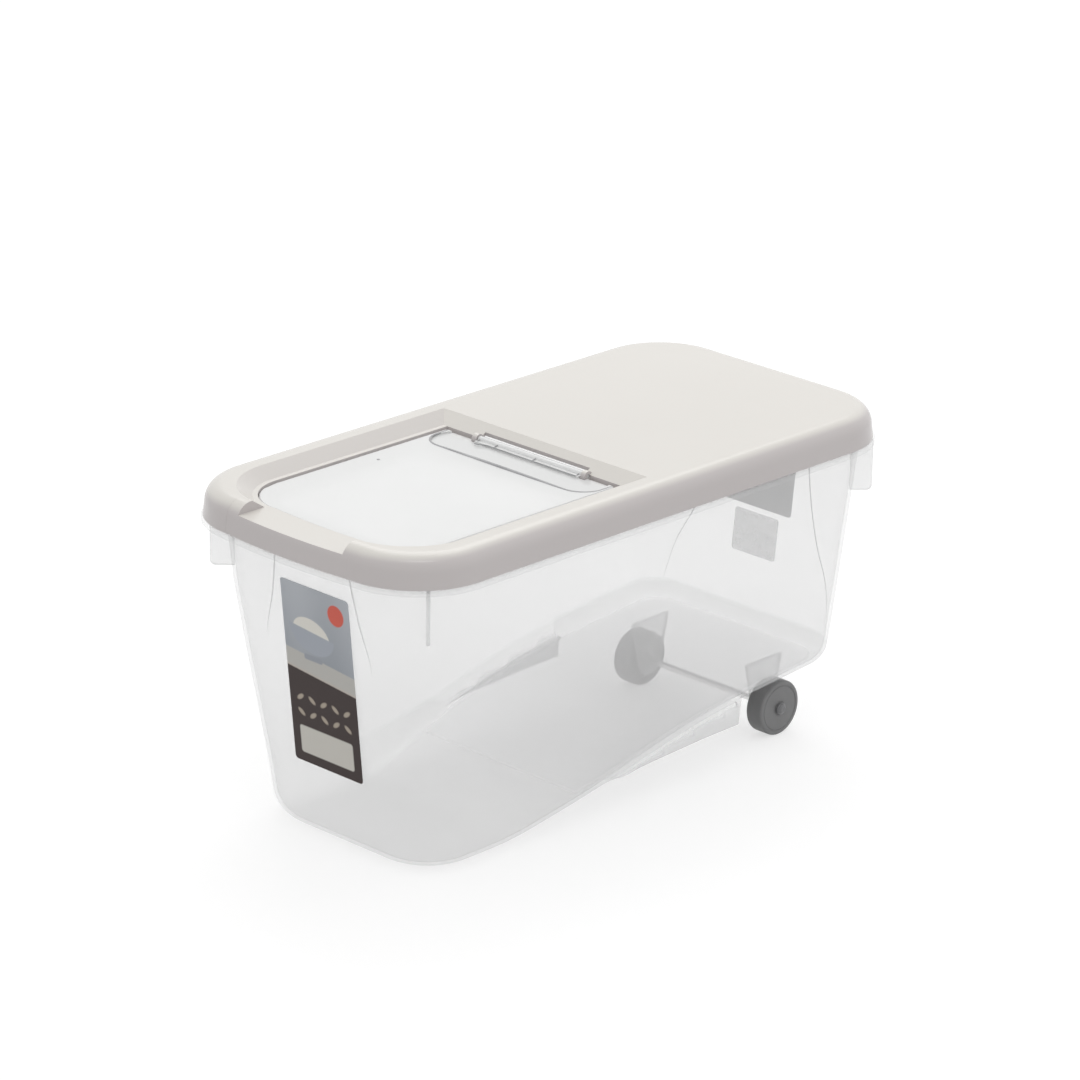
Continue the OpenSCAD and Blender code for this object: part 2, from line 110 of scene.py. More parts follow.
def floor_under(y):
    """Height of the floor's underside: 0 on the foot, a parabola into a straight ramp, and
    a gentler line past the crest, where a soft minimum joins the two."""
    rear_wall_y = TUB_REAR - wall_offset(REAR_FLOOR_Z)
    t = clamp(y - FOOT_END, 0.0, RAMP_BLEND)
    straight = np.maximum(0.0, y - FOOT_END - RAMP_BLEND)
    ramp = RAMP_SLOPE * t**2 / (2 * RAMP_BLEND) + RAMP_SLOPE * straight
    rear = REAR_FLOOR_Z - WALL - REAR_SLOPE * (rear_wall_y - y)
    crest = -CREST_SOFTNESS * np.logaddexp(-ramp / CREST_SOFTNESS, -rear / CREST_SOFTNESS)
    return np.maximum(0.0, np.where(ramp > 0.5, crest, ramp))


def edge_radius(y):
    """Radius of the tub's lower edge: large on the foot, smaller along the ramp and rear."""
    return FOOT_EDGE + (REAR_EDGE - FOOT_EDGE) * smooth_step(y, FOOT_END, FOOT_END + EDGE_RUN)


def skirt_low(y):
    """Lower edge of the side skirts: straight runs between given heights, averaged over a
    short stretch so that their corners are round."""
    knots = [SKIRT_START - 20, SKIRT_START, SKIRT_START + 17, SKIRT_START + 35, ARCH_Y - 34, ARCH_Y]
    start = floor_under(np.array([SKIRT_START - 20, SKIRT_START]))
    heights = [*start, SKIRT_LOW_Z, SKIRT_LOW_Z + 1.2, SKIRT_HIGH_Z - 0.4, SKIRT_HIGH_Z]
    spread = np.linspace(-SKIRT_SPREAD, SKIRT_SPREAD, 13)
    return np.mean([np.interp(y + step, knots, heights) for step in spread], axis=0)


def rounded_outline(half, front, rear, front_corner, rear_corner, bow=0.0, cut=None):
    """Closed loop of a rounded rectangle: straight sides, circular corners and, with a bow,
    an arc of that radius across the front. The point count is the same for every size.
    With a cut, two points of each side come close together on either side of that Y."""
    t_end = np.linspace(0, 1, END_POINTS)
    t_arc = np.linspace(0, 1, CORNER_POINTS)[1:]
    t_side = np.linspace(0, 1, SIDE_POINTS)[1:-1]
    if bow:
        angle = math.asin((half - front_corner) / (bow - front_corner))
        sweep = angle * t_end
        end_x = bow * np.sin(sweep)
        end_y = front + bow - bow * np.cos(sweep)
        centre = np.array([half - front_corner,
                           front + bow - (bow - front_corner) * math.cos(angle)])
        start = angle
    else:
        end_x = (half - front_corner) * t_end
        end_y = np.full_like(t_end, front)
        centre = np.array([half - front_corner, front + front_corner])
        start = 0.0
    turn = start + (math.pi / 2 - start) * t_arc
    arc_x = centre[0] + front_corner * np.sin(turn)
    arc_y = centre[1] - front_corner * np.cos(turn)
    rear_y = rear - rear_corner
    side_y = centre[1] + (rear_y - centre[1]) * t_side
    if cut is not None:
        after = np.searchsorted(side_y, cut)
        side_y[after - 1:after + 1] = cut - CUT_HALF, cut + CUT_HALF
    side_x = np.full_like(side_y, half)
    turn = math.pi / 2 * np.linspace(0, 1, CORNER_POINTS)
    rear_x = half - rear_corner + rear_corner * np.cos(turn)
    rear_arc_y = rear_y + rear_corner * np.sin(turn)
    last_x = (half - rear_corner) * (1 - t_end[1:])
    last_y = np.full_like(last_x, rear)
    x = np.concatenate([end_x, arc_x, side_x, rear_x, last_x])
    y = np.concatenate([end_y, arc_y, side_y, rear_arc_y, last_y])
    return np.column_stack([np.concatenate([x, -x[-2:0:-1]]),
                            np.concatenate([y, y[-2:0:-1]])])


def tub_outline(inset):
    """Outline of the wall at the brim, moved in by the inset."""
    return rounded_outline(TUB_HALF - inset, TUB_FRONT + inset, TUB_REAR - inset,
                           TUB_CORNER - inset, TUB_CORNER - inset, cut=ARCH_Y)


def brim_outline(inset):
    """Outline of the brim, moved in by the inset."""
    return rounded_outline(BRIM_HALF - inset, BRIM_FRONT + inset, BRIM_REAR - inset,
                           BRIM_FRONT_CORNER - inset, BRIM_REAR_CORNER - inset,
                           BOW_RADIUS - inset)


def grid_faces(rows, columns, close_rows=False, close_columns=False):
    """Quads of a grid whose points are stored row after row."""
    r = np.arange(rows if close_rows else rows - 1)
    c = np.arange(columns if close_columns else columns - 1)
    r, c = np.meshgrid(r, c, indexing="ij")
    r2, c2 = (r + 1) % rows, (c + 1) % columns
    corners = [r * columns + c, r * columns + c2, r2 * columns + c2, r2 * columns + c]
    return np.stack(corners, axis=-1).reshape(-1, 4)


def make_piece(name, points, faces, material, merge=0.002, smooth_angle=35.0):
    """Mesh object at the origin from points in millimetres; doubles are merged and the
    normals turned outwards."""
    mesh = bpy.data.meshes.new(name)
    corners = [list(map(int, face)) for face in faces]
    mesh.from_pydata((np.asarray(points, float) * MM).tolist(), [], corners)
    work = bmesh.new()
    work.from_mesh(mesh)
    if merge:
        bmesh.ops.remove_doubles(work, verts=work.verts, dist=merge * MM)
        bmesh.ops.dissolve_degenerate(work, dist=merge * MM / 4, edges=work.edges)
    bmesh.ops.recalc_face_normals(work, faces=work.faces)
    work.to_mesh(mesh)
    work.free()
    return finish_piece(name, mesh, material, smooth_angle)


def finish_piece(name, mesh, material, smooth_angle=35.0):
    """Object for a mesh, smooth except where faces meet at more than the given angle."""
    mesh.polygons.foreach_set("use_smooth", np.ones(len(mesh.polygons), bool))
    mesh.set_sharp_from_angle(angle=math.radians(smooth_angle))
    mesh.materials.clear()
    mesh.materials.append(material)
    obj = bpy.data.objects.new(name, mesh)
    bpy.context.scene.collection.objects.link(obj)
    return obj


def set_value(obj, name, values):
    """Stores one number per vertex as an attribute that a material can read."""
    layer = obj.data.attributes.new(name, "FLOAT", "POINT")
    layer.data.foreach_set("value", np.asarray(values, np.float32))


def coordinates(obj):
    """The vertices of an object in millimetres."""
    co = np.zeros(len(obj.data.vertices) * 3)
    obj.data.vertices.foreach_get("co", co)
    return co.reshape(-1, 3) / MM


# Materials

def principled(name, color, roughness, **sockets):
    """New material with its node tree and shader; an underscore in a socket's name stands
    for a space."""
    material = bpy.data.materials.new(name)
    material.use_nodes = True
    tree = material.node_tree
    shader = tree.nodes["Principled BSDF"]
    shader.inputs["Base Color"].default_value = (*color, 1.0)
    shader.inputs["Roughness"].default_value = roughness
    for socket, value in sockets.items():
        shader.inputs[socket.replace("_", " ")].default_value = value
    return material, tree, shader


def add_node(tree, kind, inputs=None, **settings):
    """New node with its settings; an input is either linked to a socket or given a value."""
    node = tree.nodes.new(kind)
    for key, value in settings.items():
        setattr(node, key, value)
    for key, value in (inputs or {}).items():
        if isinstance(value, bpy.types.NodeSocket):
            tree.links.new(value, node.inputs[key])
        else:
            node.inputs[key].default_value = value
    return node


def object_noise(tree, scale, detail=3.0, roughness=0.5, stretch=(1, 1, 1)):
    """Noise on object coordinates; scale counts features per metre."""
    place = add_node(tree, "ShaderNodeTexCoord")
    turn = add_node(tree, "ShaderNodeMapping",
                    {"Vector": place.outputs["Object"], "Scale": stretch})
    return add_node(tree, "ShaderNodeTexNoise",
                    {"Vector": turn.outputs["Vector"], "Scale": scale,
                     "Detail": detail, "Roughness": roughness}).outputs["Fac"]


def scaled(tree, value, low, high):
    """Maps 0..1 to low..high."""
    return add_node(tree, "ShaderNodeMapRange",
                    {"Value": value, "To Min": low, "To Max": high}).outputs["Result"]


def added(tree, first, second):
    """Sum of two sockets, kept between 0 and 1."""
    return add_node(tree, "ShaderNodeMath", {0: first, 1: second},
                    operation="ADD", use_clamp=True).outputs[0]


def times_plus(tree, value, factor, rest):
    """value * factor + rest."""
    return add_node(tree, "ShaderNodeMath", {0: value, 1: factor, 2: rest},
                    operation="MULTIPLY_ADD").outputs[0]


def seen_directly(tree):
    """1 for rays from the camera, also by way of a mirror or through clear plastic."""
    path = add_node(tree, "ShaderNodeLightPath").outputs
    mirrored = added(tree, path["Is Camera Ray"], path["Is Glossy Ray"])
    return added(tree, mirrored, path["Is Transmission Ray"])


def two_tone(tree, factor, first, second):
    """Colour that goes from the first to the second with the factor."""
    mix = add_node(tree, "ShaderNodeMix", data_type="RGBA")
    tree.links.new(factor, mix.inputs[0])
    mix.inputs[6].default_value = (*first, 1.0)
    mix.inputs[7].default_value = (*second, 1.0)
    return mix.outputs[2]


def add_bump(tree, shader, height, strength, distance):
    """Bump from a height socket; the distance is in metres."""
    bump = add_node(tree, "ShaderNodeBump",
                    {"Height": height, "Strength": strength, "Distance": distance})
    tree.links.new(bump.outputs["Normal"], shader.inputs["Normal"])


def clear_tub_material(name, low, high):
    """Milky moulded plastic: more opaque where it is seen edge on, with faint flow waves.
    A piece's milk attribute adds to its opacity."""
    material, tree, shader = principled(name, (0.86, 0.87, 0.88), 0.16, IOR=1.49)
    flow = object_noise(tree, 9.0, 2.0, 0.5, (1.0, 0.5, 1.6))
    tree.links.new(two_tone(tree, flow, (0.90, 0.905, 0.91), (0.94, 0.94, 0.94)),
                   shader.inputs["Base Color"])
    rim = add_node(tree, "ShaderNodeLayerWeight", {"Blend": 0.4}).outputs["Facing"]
    steep = add_node(tree, "ShaderNodeMath", {0: rim, 1: 4.0}, operation="POWER").outputs[0]
    base = scaled(tree, steep, low, high)
    milk = add_node(tree, "ShaderNodeAttribute", attribute_name="milk").outputs["Fac"]
    tree.links.new(added(tree, base, milk), shader.inputs["Alpha"])
    frost = object_noise(tree, 900.0, 2.0)
    tree.links.new(scaled(tree, frost, 0.12, 0.20), shader.inputs["Roughness"])
    add_bump(tree, shader, flow, 0.15, 0.001)
    return material


def cover_material():
    """Cream opaque plastic with a fine spark-eroded grain and faint clouding. Its colour carries
    painted shade: faces that look up get a paler cream and upright ones a darker, greyer cream, and
    those turned to the long side take the painted shade sooner."""
    material, tree, shader = principled("cover_cream", (0.74, 0.715, 0.675), 0.28, IOR=1.49)
    cloud = object_noise(tree, 7.0, 2.0)
    facing = add_node(tree, "ShaderNodeNewGeometry").outputs["Normal"]
    way = add_node(tree, "ShaderNodeSeparateXYZ", {0: facing}).outputs
    # Painted shade: how far a face looks up, less for faces turned to +X, picks between the lit and
    # the shaded cream
    painted_light_facing = times_plus(tree, way["X"], -0.30, way["Z"])
    top = add_node(tree, "ShaderNodeMapRange",
                   {"Value": painted_light_facing, "From Min": 0.45, "From Max": 0.85},
                   interpolation_type="SMOOTHSTEP").outputs["Result"]
    # Lit and shaded copies of the cream: the paler one is painted light, the darker one painted
    # shade
    pale = two_tone(tree, cloud, (0.675, 0.652, 0.612), (0.715, 0.69, 0.65))
    painted_shade_cream = two_tone(tree, cloud, (0.55, 0.515, 0.51), (0.58, 0.545, 0.54))
    blend = add_node(tree, "ShaderNodeMix", data_type="RGBA")
    for source, socket in ((top, 0), (painted_shade_cream, 6), (pale, 7)):
        tree.links.new(source, blend.inputs[socket])
    tree.links.new(blend.outputs[2], shader.inputs["Base Color"])
    grain = object_noise(tree, 1800.0, 2.0)
    tree.links.new(scaled(tree, grain, 0.18, 0.28), shader.inputs["Roughness"])
    add_bump(tree, shader, grain, 0.12, 0.0002)
    return material


def flap_material(name, pale, low, high):
    """Clear flap with a milky body and a glossy face."""
    material, tree, shader = principled(name, (pale, pale, pale), 0.12, IOR=1.5)
    cloud = object_noise(tree, 14.0, 2.0)
    colours = [(pale + step, pale + step + 0.004, pale + step) for step in (-0.025, 0.025)]
    tree.links.new(two_tone(tree, cloud, *colours), shader.inputs["Base Color"])
    rim = add_node(tree, "ShaderNodeLayerWeight", {"Blend": 0.3}).outputs["Facing"]
    tree.links.new(scaled(tree, rim, low, high), shader.inputs["Alpha"])
    add_bump(tree, shader, cloud, 0.1, 0.001)
    return material


def shade_line_material():
    """Grey lines on the clear plastic's moulded edges: the grey is painted shade for the darkening
    along those edges, a soft grey that varies along the edge.
    """
    material, tree, shader = principled("flap_edge_painted_shade", (0.42, 0.42, 0.43), 0.2, IOR=1.5)
    cloud = object_noise(tree, 45.0, 2.0)
    tree.links.new(two_tone(tree, cloud, (0.24, 0.24, 0.25), (0.62, 0.62, 0.63)),
                   shader.inputs["Base Color"])
    tree.links.new(scaled(tree, cloud, 0.95, 0.7), shader.inputs["Alpha"])
    return material


def wheel_material():
    """Dark grey moulded plastic with a fine grain."""
    material, tree, shader = principled("wheel_grey", (0.17, 0.17, 0.173), 0.42)
    cloud = object_noise(tree, 60.0, 3.0)
    tree.links.new(two_tone(tree, cloud, (0.185, 0.185, 0.187), (0.225, 0.225, 0.227)),
                   shader.inputs["Base Color"])
    grain = object_noise(tree, 1500.0, 2.0)
    tree.links.new(scaled(tree, grain, 0.36, 0.55), shader.inputs["Roughness"])
    add_bump(tree, shader, grain, 0.15, 0.0003)
    return material


def cap_material():
    """Spring steel cap with a grey coat, a little glossier than the wheels."""
    material, tree, shader = principled("cap_coated_steel", (0.2, 0.2, 0.205), 0.35,
                                        Metallic=0.2)
    coat = object_noise(tree, 400.0, 2.0)
    tree.links.new(two_tone(tree, coat, (0.18, 0.18, 0.185), (0.23, 0.23, 0.235)),
                   shader.inputs["Base Color"])
    tree.links.new(scaled(tree, coat, 0.28, 0.4), shader.inputs["Roughness"])
    return material


def steel_material():
    """Drawn steel rod: its noise is stretched along the rod."""
    material, tree, shader = principled("axle_steel", (0.78, 0.78, 0.78), 0.4, Metallic=1.0)
    drawn = object_noise(tree, 700.0, 3.0, 0.5, (0.05, 1.0, 1.0))
    tree.links.new(scaled(tree, drawn, 0.25, 0.42), shader.inputs["Roughness"])
    add_bump(tree, shader, drawn, 0.2, 0.0002)
    return material


def printed_material(name, cover=1.0):
    """Printed sheet whose colour comes from the piece's own ink attribute. A thin paper
    sheet hides only part of the light behind it."""
    roughness = 0.3
    material, tree, shader = principled(name, (0.5, 0.5, 0.5), roughness,
                                        Specular_IOR_Level=0.25)
    ink = add_node(tree, "ShaderNodeAttribute", attribute_name="ink")
    tree.links.new(ink.outputs["Color"], shader.inputs["Base Color"])
    paper = object_noise(tree, 1200.0, 2.0)
    tree.links.new(scaled(tree, paper, roughness - 0.06, roughness + 0.08),
                   shader.inputs["Roughness"])
    if cover < 1.0:
        fibre = object_noise(tree, 260.0, 2.0)
        tree.links.new(scaled(tree, fibre, cover - 0.05, cover + 0.05), shader.inputs["Alpha"])
    return material


TUB = clear_tub_material("tub_translucent", 0.15, 0.55)
TUB_EDGE = clear_tub_material("tub_thick_edge", 0.45, 0.75)
FLAP_SHADE_LINE = shade_line_material()
COVER = cover_material()
FLAP = flap_material("flap_clear", 0.87, 0.74, 0.92)
FLAP_STRIP = flap_material("flap_clear_strip", 0.80, 0.78, 0.9)
WHEEL = wheel_material()
STEEL = steel_material()
CAP = cap_material()


# Tub

def panel_half(z, front):
    """Half width of the flat panel in the middle of an end wall at height z."""
    return np.where(front, np.interp(z, *FRONT_PANEL), np.interp(z, *REAR_PANEL))


def panel_push(x, y, z):
    """How far the wall stands out beyond the flat end panel: up to the panel's step,
    reached along an exponential, fading out downwards."""
    beyond = np.maximum(0.0, np.abs(x) - panel_half(z, y < 0))
    shown = np.where(y < 0, smooth_step(z, 140.0, 172.0), smooth_step(z, 60.0, 72.0))
    below_brim = 1 - smooth_step(z, BRIM_Z - 5.0, BRIM_Z - 1.0)
    return PANEL_STEP * (1 - np.exp(-beyond / PANEL_FADE)) * shown * below_brim


def eased_corners(base, normal, z):
    """Shift that gives the front corners a larger radius low down: their centres move in by
    the extra radius, and the straight runs beside them shorten to match."""
    extra = CORNER_EASE * (1 - smooth_step(z, 0.0, CORNER_EASE_TOP))
    x, y = base.T
    corner_x, corner_y = TUB_HALF - TUB_CORNER, TUB_FRONT + TUB_CORNER
    on_arc = (np.abs(x) > corner_x) & (y < corner_y)
    on_front = (np.abs(x) <= corner_x) & (y < 0)
    move_x = np.where(on_arc, normal[:, 0] - np.sign(x), np.where(on_front, -x / corner_x, 0.0))
    run = clamp((corner_y + EASE_RUN - y) / EASE_RUN, 0.0, 1.0)
    move_y = np.where(on_arc, normal[:, 1] + 1, np.where(on_front, 0.0, run))
    return np.column_stack([move_x * extra, move_y * extra])


def bucket_ring(z, inset_extra, y_loop):
    """Outline of the leaning wall at the height given for each point of the loop, moved in
    along its normals by the inset, and out beside the flat end panels."""
    inset = wall_offset(z) + inset_extra
    base = tub_outline(0.0)
    corner_x = TUB_HALF - TUB_CORNER
    centre = np.column_stack([
        clamp(base[:, 0], -corner_x, corner_x),
        clamp(base[:, 1], TUB_FRONT + TUB_CORNER, TUB_REAR - TUB_CORNER)])
    normal = (base - centre) / TUB_CORNER
    ring = base - normal * inset[:, None] + eased_corners(base, normal, z)
    push = panel_push(ring[:, 0], y_loop, z) * normal[:, 1] ** 2
    return ring + normal * push[:, None]


def outer_turn(y, floor, radius):
    """Path of the outer surface from the wall to the underside of the floor, as insets from
    the wall and heights. It is a quarter circle, and along the sides between ramp and wheel
    arch it is the skirt's wall: down, round its lower edge and up its inner face."""
    side = smooth_step(y, SKIRT_START - 12, SKIRT_START + 8) * (y < ARCH_Y)
    low = np.minimum(skirt_low(y), floor)
    up = floor - low
    inset_skirt = [0.0, 0.1, 0.5, 1.2, 1.9, 2.3, 2.4, 2.4, 2.4, 2.45, 2.8, 3.4]
    rise = [0.5, 0.15, 0.0, 0.0, 0.0, 0.15, 0.5]
    heights = [low + r for r in rise]
    heights += [low + 0.3 * up + 0.3, low + 0.6 * up + 0.2, floor - 0.45, floor - 0.08, floor]
    path = []
    for a, inset, z in zip(QUARTER_TURN, inset_skirt, heights):
        plain_inset = radius * (1 - math.sin(a))
        plain_z = floor + radius * (1 - math.cos(a))
        path.append((plain_inset * (1 - side) + inset * side, plain_z * (1 - side) + z * side))
    return path


def floor_milk(y):
    """Milkiness of the floor: none at the foot's front, growing smoothly along the ramp."""
    return FLOOR_MILK * smooth_step(y, -165.0, 40.0)


def bucket_side(extra, lift, radius_less, outside):
    """One face of the bucket as rings, with each point's milkiness: from the mouth down the
    leaning wall, round the lower edge and across the floor to its middle line."""
    base = tub_outline(0.0)
    y = base[:, 1]
    low_y = clamp(y, TUB_FRONT + 30, TUB_REAR - 25)
    floor = floor_under(low_y) + lift
    radius = edge_radius(low_y) - radius_less
    if outside:
        turn = outer_turn(y, floor, radius)
    else:
        turn = [(radius * (1 - math.sin(a)), floor + radius * (1 - math.cos(a)))
                for a in QUARTER_TURN]
    rings, marks = [], []
    for t in np.linspace(0, 1, WALL_RINGS)[:-1]:
        z = MOUTH_Z + (turn[0][1] - MOUTH_Z) * t
        rings.append(np.column_stack([bucket_ring(z, extra, y), z]))
        marks.append(SKIRT_MILK * (z < floor - 0.6))
    for inset, z in turn:
        ring = bucket_ring(z, extra, y)
        inward = (bucket_ring(z, extra + 10.0, y) - ring) / 10.0
        ring = ring + inward * np.broadcast_to(inset, z.shape)[:, None]
        rings.append(np.column_stack([ring, z]))
        marks.append(np.where(z < floor - 0.6, SKIRT_MILK, floor_milk(y) / 2))
    spine = np.column_stack([np.zeros_like(y), clamp(ring[:, 1], -150.0, 165.0)])
    for t in np.linspace(0, 1, FLOOR_RINGS)[1:]:
        inner = ring * (1 - t) + spine * t
        rings.append(np.column_stack([inner, floor_under(inner[:, 1]) + lift]))
        marks.append(floor_milk(inner[:, 1]))
    return rings, marks


def tub_shell():
    """Bucket with a wall: the outer rings, then the inner rings, joined over the mouth."""
    outer, outer_marks = bucket_side(0.0, 0.0, 0.0, True)
    inner, inner_marks = bucket_side(WALL, WALL, WALL, False)
    top = [inner[0] + (outer[0] - inner[0]) * f for f in (0.15, 0.5, 0.85)]
    rings = inner[::-1] + top + outer
    marks = inner_marks[::-1] + [np.zeros(len(outer[0]))] * 3 + outer_marks
    count = len(outer[0])
    points = np.vstack(rings)
    faces = grid_faces(len(rings), count, close_columns=True)
    mesh = bpy.data.meshes.new("tub_bucket")
    mesh.from_pydata((points * MM).tolist(), [], faces.tolist())
    layer = mesh.attributes.new("milk", "FLOAT", "POINT")
    layer.data.foreach_set("value", np.concatenate(marks).astype(np.float32))
    work = bmesh.new()
    work.from_mesh(mesh)
    bmesh.ops.remove_doubles(work, verts=work.verts, dist=0.01 * MM)
    bmesh.ops.dissolve_degenerate(work, dist=0.005 * MM, edges=work.edges)
    bmesh.ops.recalc_face_normals(work, faces=work.faces)
    work.to_mesh(mesh)
    work.free()
    return finish_piece("tub_bucket", mesh, TUB, 40.0)


def swept_section(name, section, material):
    """Closed band round the bin. Each point of the section's polygon is given as the loop
    that it draws round the bin, and its height."""
    points = np.vstack([np.column_stack([loop, np.full(len(loop), z)]) for loop, z in section])
    faces = grid_faces(len(section), len(section[0][0]), close_rows=True, close_columns=True)
    return make_piece(name, points, faces, material, merge=0)


def brim():
    """Flat brim from the wall to a rounded bead that hangs at its edge."""
    wall = tub_outline(1.0)
    steps = [(2.5, 2.4), (2.4, 3.3), (1.9, 3.85), (1.2, 4.0), (0.5, 3.8), (0.05, 3.2),
             (0.0, 2.4), (0.0, 0.8), (0.25, 0.25), (0.8, 0.0)]
    bead = [(brim_outline(inset), BRIM_Z - drop) for inset, drop in steps]
    section = [(wall, BRIM_Z - 2.4)] + bead + [(wall, BRIM_Z)]
    return swept_section("tub_brim", section, TUB)


def locating_rib():
    """Low upright rib on the brim, chamfered at its top."""
    steps = [(4.9, -0.1), (4.9, 4.5), (5.3, 5.0), (6.3, 5.0), (6.7, 4.5), (6.7, -0.1)]
    section = [(brim_outline(inset), BRIM_Z + rise) for inset, rise in steps]
    return swept_section("tub_locating_rib", section, TUB)


def tube(name, path, radius, material, sides=10):
    """Round rod along a path of points in millimetres, closed with flat ends; the radius may
    change from point to point."""
    path = np.asarray(path, float)
    radius = np.broadcast_to(radius, len(path))
    along = np.gradient(path, axis=0)
    along /= np.linalg.norm(along, axis=1)[:, None]
    guide = np.array([0.0, 0.0, 1.0]) if abs(along[0, 2]) < 0.7 else np.array([1.0, 0.0, 0.0])
    across = np.cross(along, guide)
    across /= np.linalg.norm(across, axis=1)[:, None]
    above = np.cross(across, along)
    turn = np.linspace(0, 2 * math.pi, sides, endpoint=False)
    ring = (np.cos(turn)[None, :, None] * across[:, None, :]
            + np.sin(turn)[None, :, None] * above[:, None, :])
    points = (path[:, None, :] + ring * radius[:, None, None]).reshape(-1, 3)
    faces = grid_faces(len(path), sides, close_columns=True).tolist()
    faces.append(list(range(sides))[::-1])
    faces.append(list(range((len(path) - 1) * sides, len(path) * sides)))
    return make_piece(name, points, faces, material, merge=0, smooth_angle=50.0)


def panel_edge(name, side, front):
    """Fine moulded line down the edge of an end wall's flat panel, tapering to nothing."""
    count, window = 60, 9
    z = np.linspace(BRIM_Z - 1.0, 142.0 if front else 61.0, count)
    x = np.pad(panel_half(z, front), window // 2, mode="edge")
    x = np.convolve(x, np.ones(window) / window, mode="valid")
    corner_x = TUB_HALF - TUB_CORNER
    beyond = np.maximum(0.0, x - corner_x)
    reach = TUB_CORNER - wall_offset(z)
    centre_y, way = (TUB_FRONT + TUB_CORNER, -1) if front else (TUB_REAR - TUB_CORNER, 1)
    y = centre_y + way * np.sqrt(np.maximum(reach ** 2 - beyond ** 2, 1.0))
    fade = np.interp(np.linspace(0, 1, count), [0.0, 0.08, 0.6, 1.0], [0.25, 1.0, 0.8, 0.1])
    path = np.column_stack([side * x, y, z])
    return tube(name, path, 0.55 * fade, TUB_EDGE, 8)


def plate(name, outline, thickness, place, material):
    """Flat plate: the outline in its own plane, given a thickness and put in place by a
    4 x 4 matrix in millimetres. A bevel rounds its edges."""
    outline = np.asarray(outline, float)
    count = len(outline)
    flat = np.vstack([np.column_stack([outline, np.full(count, side * thickness / 2)])
                      for side in (-1, 1)])
    points = (np.column_stack([flat, np.ones(2 * count)]) @ np.asarray(place).T)[:, :3]
    faces = [list(range(count))[::-1], list(range(count, 2 * count))]
    faces += [[k, (k + 1) % count, count + (k + 1) % count, count + k] for k in range(count)]
    obj = make_piece(name, points, faces, material, merge=0)
    obj.data.materials.append(TUB_EDGE)
    obj.data.polygons.foreach_set("material_index", [0, 0] + [1] * count)
    set_value(obj, "milk", np.full(2 * count, WEB_MILK))
    bevel = obj.modifiers.new("rounded", "BEVEL")
    bevel.width = 0.5 * MM
    bevel.segments = 2
    bevel.limit_method = "ANGLE"
    bevel.angle_limit = math.radians(40)
    return obj


def arc(centre, radius, start, stop, count=6):
    """Points on a circle, from one angle in degrees to another."""
    turn = np.radians(np.linspace(start, stop, count))
    return list(zip(centre[0] + radius * np.cos(turn), centre[1] + radius * np.sin(turn)))


def gusset(name, side, front):
    """Upright web under a corner of the brim, standing out along the corner's diagonal."""
    reach = 57.0 if front else 56.0
    height, nose = 38.0, 4.0
    top = BRIM_Z - 2.4
    low = BRIM_Z - 2.0 - height
    wall = TUB_CORNER - float(wall_offset(np.array(low))) - 1.0
    outline = [(wall, top), (wall, low)]
    outline += arc((reach - nose, low + nose), nose, -90, 0, 8)
    outline += [(reach, top)]
    along = np.array([side * math.sqrt(0.5), (-1 if front else 1) * math.sqrt(0.5), 0.0])
    up = np.array([0.0, 0.0, 1.0])
    centre = np.array([side * (TUB_HALF - TUB_CORNER),
                       TUB_FRONT + TUB_CORNER if front else TUB_REAR - TUB_CORNER, 0.0])
    place = np.eye(4)
    place[:3] = np.column_stack([along, up, np.cross(along, up), centre])
    return plate(name, outline, 2.6, place, TUB)


def axle_bracket(name, side):
    """Web under the raised floor with a round lower end."""
    half_top, nose, middle_x, wall = 18.0, 11.0, 54.4, 3.2
    top = float(floor_under(np.array(WHEEL_Y))) + 1.0
    outline = [(WHEEL_Y + half_top, top), (WHEEL_Y - half_top, top)]
    outline += arc((WHEEL_Y, WHEEL_Z), nose, 180, 360, 17)
    place = np.array([[0, 0, 1, side * middle_x], [1, 0, 0, 0], [0, 1, 0, 0], [0, 0, 0, 1]])
    return plate(name, outline, wall, place, TUB)


tub_pieces = [tub_shell(), brim(), locating_rib(),
              axle_bracket("tub_axle_bracket_right", 1), axle_bracket("tub_axle_bracket_left", -1)]
for end, is_front in (("front", True), ("rear", False)):
    for word, side in (("right", 1), ("left", -1)):
        tub_pieces.append(gusset(f"tub_gusset_{end}_{word}", side, is_front))
        tub_pieces.append(panel_edge(f"tub_panel_edge_{end}_{word}", side, is_front))
for piece in tub_pieces:
    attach(piece, "tub")
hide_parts("tub")


# Cover and flap

def softened_copy(node, name, material, width, angle):
    """The node's own mesh, merged, with its hard edges rounded by a bevel."""
    mesh = frame["nodes"][node].data.copy()
    mesh.name = name
    work = bmesh.new()
    work.from_mesh(mesh)
    bmesh.ops.remove_doubles(work, verts=work.verts, dist=0.004 * MM)
    bmesh.ops.dissolve_limit(work, angle_limit=math.radians(0.6),
                             verts=work.verts, edges=work.edges)
    work.to_mesh(mesh)
    work.free()
    for layer in ("sharp_face", "custom_normal"):
        if layer in mesh.attributes:
            mesh.attributes.remove(mesh.attributes[layer])
    obj = finish_piece(name, mesh, material, 30.0)
    bevel = obj.modifiers.new("rounded", "BEVEL")
    bevel.width = width * MM
    bevel.segments = 2
    bevel.limit_method = "ANGLE"
    bevel.angle_limit = math.radians(angle)
    return obj


cover = softened_copy("cover", "cover_shell", COVER, 0.7, 24)
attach(cover, "cover")
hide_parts("cover")


